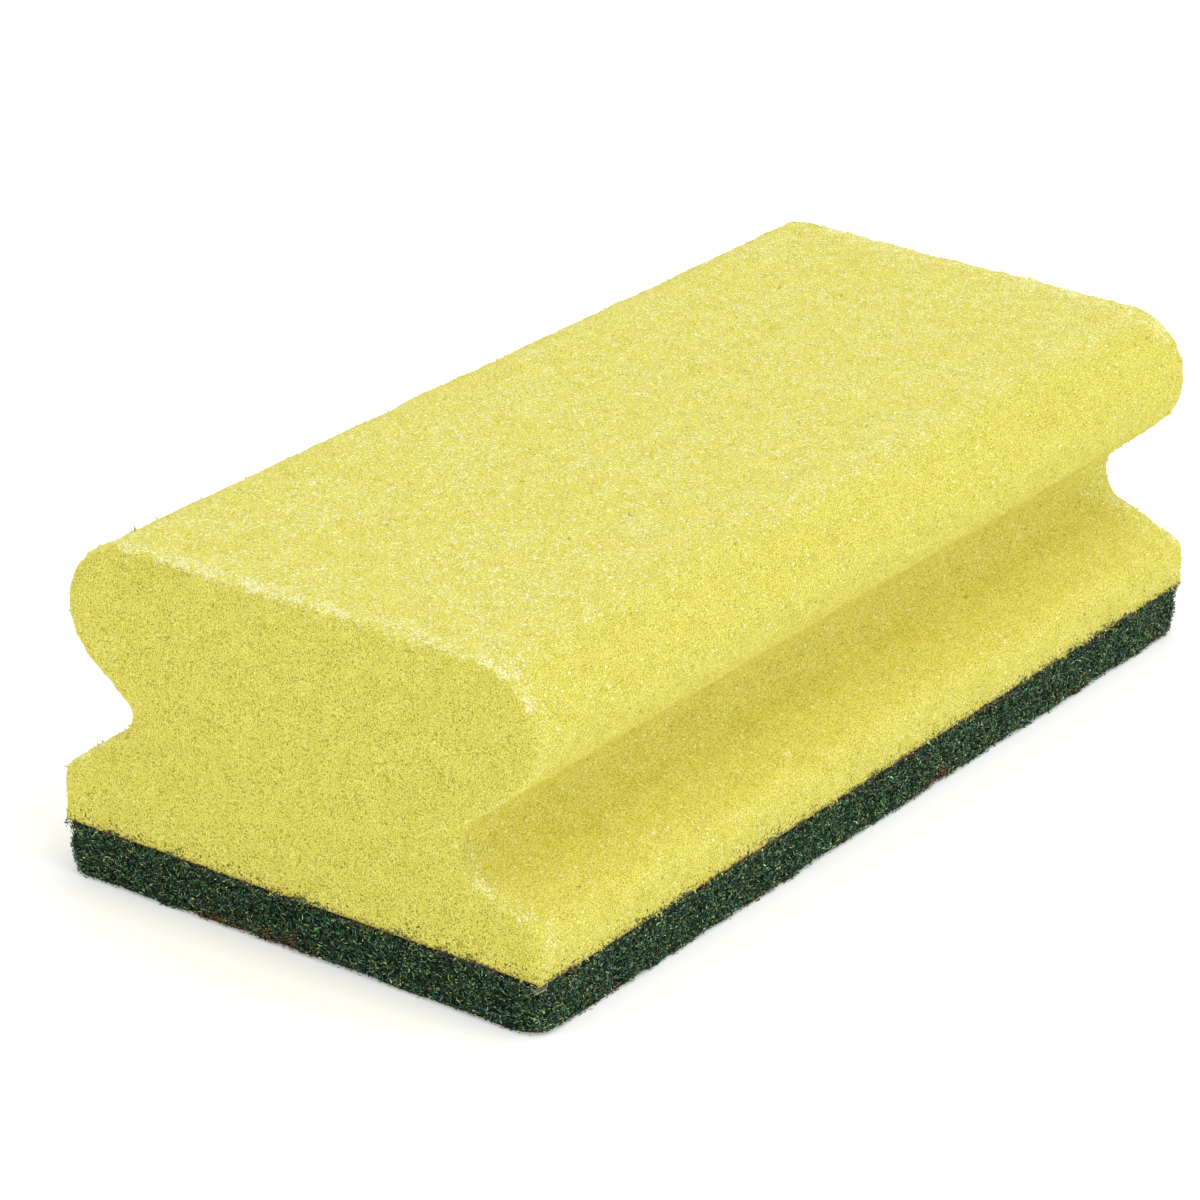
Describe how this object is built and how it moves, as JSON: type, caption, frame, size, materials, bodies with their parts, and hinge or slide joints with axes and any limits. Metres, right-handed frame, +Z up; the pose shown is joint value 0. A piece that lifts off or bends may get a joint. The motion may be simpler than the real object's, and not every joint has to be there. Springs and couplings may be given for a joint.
{
  "type": "cleaning sponge",
  "caption": "Profiled foam cleaning sponge with a finger groove along each side and a dark green scouring pad bonded underneath.",
  "frame": {"origin": "middle of the underside of the scouring pad, on the surface that the sponge stands on", "axes": "+X along the length, -Y the front side with the deeper finger groove, +Z up through the foam"},
  "size_m": [0.15, 0.07, 0.0445],
  "materials": {
    "foam": "matte open-cell foam",
    "scourer": "rough non-woven fibre"
  },
  "bodies": {
    "root": {"foam_body": "foam", "scouring_pad": "scourer"}
  },
  "joints": []
}
